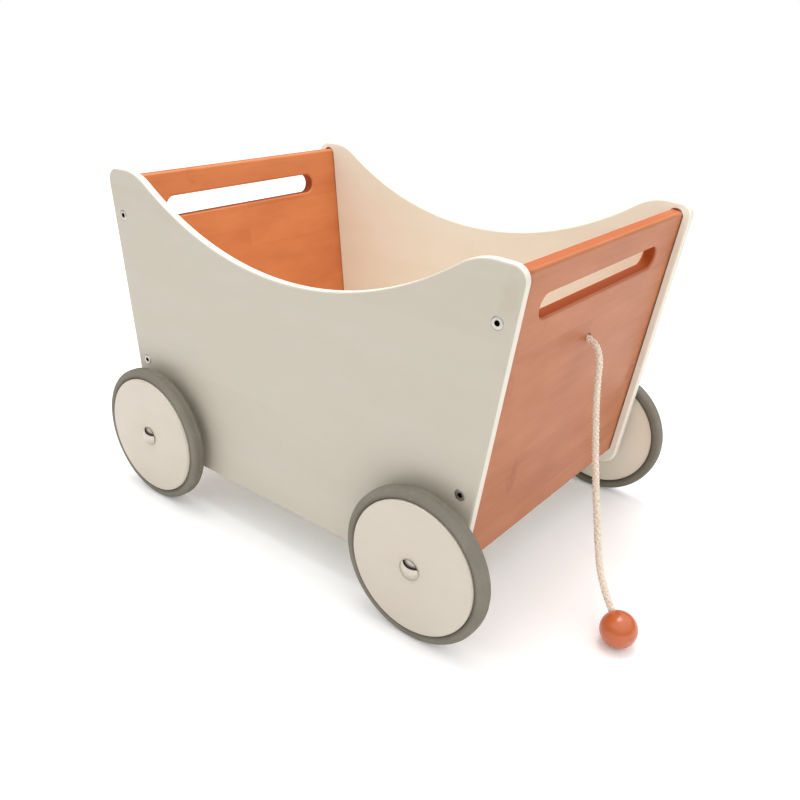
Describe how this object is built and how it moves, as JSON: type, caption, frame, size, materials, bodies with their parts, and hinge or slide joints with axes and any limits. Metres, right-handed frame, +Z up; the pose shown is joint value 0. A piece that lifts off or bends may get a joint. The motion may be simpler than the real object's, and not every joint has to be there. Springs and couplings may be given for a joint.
{
  "type": "doll stroller",
  "caption": "Low wooden doll wagon: an open box with dipped sides and slanted ends with handle slots, on large disc wheels with soft tyres, with a pull cord and a wooden ball.",
  "frame": {"origin": "on the floor, under the middle of the wagon", "axes": "+X towards the end with the pull cord, +Y to the wagon's left, +Z up"},
  "size_m": [0.5645, 0.364, 0.3303],
  "materials": {
    "side_boards": "satin cream paint",
    "end_boards": "satin terracotta paint on bamboo",
    "floor_board": "satin",
    "bolts": "zinc plated",
    "inserts": "plain",
    "wheel_discs": "satin cream paint",
    "tyres": "matt",
    "bushes": "plain",
    "spacers": "plain",
    "cord": "braided cotton",
    "ball": "satin terracotta paint"
  },
  "bodies": {
    "chassis": {"side_panel_right": "side_boards", "side_panel_left": "side_boards", "front_panel": "end_boards", "rear_panel": "end_boards", "floor_panel": "floor_board", "front_panel_bolts": "bolts", "rear_panel_bolts": "bolts", "front_panel_inserts": "inserts", "rear_panel_inserts": "inserts", "cord_stop_knot": "cord", "axle_bolt_front_right": "bolts", "wheel_spacer_front_right": "spacers", "axle_washer_front_right": "bolts", "lock_nut_front_right": "bolts", "axle_bolt_front_left": "bolts", "wheel_spacer_front_left": "spacers", "axle_washer_front_left": "bolts", "lock_nut_front_left": "bolts", "axle_bolt_rear_right": "bolts", "wheel_spacer_rear_right": "spacers", "axle_washer_rear_right": "bolts", "lock_nut_rear_right": "bolts", "axle_bolt_rear_left": "bolts", "wheel_spacer_rear_left": "spacers", "axle_washer_rear_left": "bolts", "lock_nut_rear_left": "bolts"},
    "wheel_front_right": {"wheel_disc_front_right": "wheel_discs", "tyre_front_right": "tyres", "hub_bush_front_right": "bushes"},
    "wheel_front_left": {"wheel_disc_front_left": "wheel_discs", "tyre_front_left": "tyres", "hub_bush_front_left": "bushes"},
    "wheel_rear_right": {"wheel_disc_rear_right": "wheel_discs", "tyre_rear_right": "tyres", "hub_bush_rear_right": "bushes"},
    "wheel_rear_left": {"wheel_disc_rear_left": "wheel_discs", "tyre_rear_left": "tyres", "hub_bush_rear_left": "bushes"},
    "pull": {"pull_cord": "cord", "pull_ball": "ball"}
  },
  "joints": [
    {"name": "wheel_front_right_spin", "type": "hinge", "parent": "chassis", "child": "wheel_front_right", "pos_m": [0.1695, -0.17, 0.07], "axis": [0, 1, 0], "continuous": true},
    {"name": "wheel_front_left_spin", "type": "hinge", "parent": "chassis", "child": "wheel_front_left", "pos_m": [0.1695, 0.17, 0.07], "axis": [0, 1, 0], "continuous": true},
    {"name": "wheel_rear_right_spin", "type": "hinge", "parent": "chassis", "child": "wheel_rear_right", "pos_m": [-0.1695, -0.17, 0.07], "axis": [0, 1, 0], "continuous": true},
    {"name": "wheel_rear_left_spin", "type": "hinge", "parent": "chassis", "child": "wheel_rear_left", "pos_m": [-0.1695, 0.17, 0.07], "axis": [0, 1, 0], "continuous": true},
    {"name": "pull_cord_swing", "type": "hinge", "parent": "chassis", "child": "pull", "pos_m": [0.219, 0, 0.2344], "axis": [0, -1, 0], "range_deg": [0, 78], "deforming": ["pull_cord"]}
  ]
}
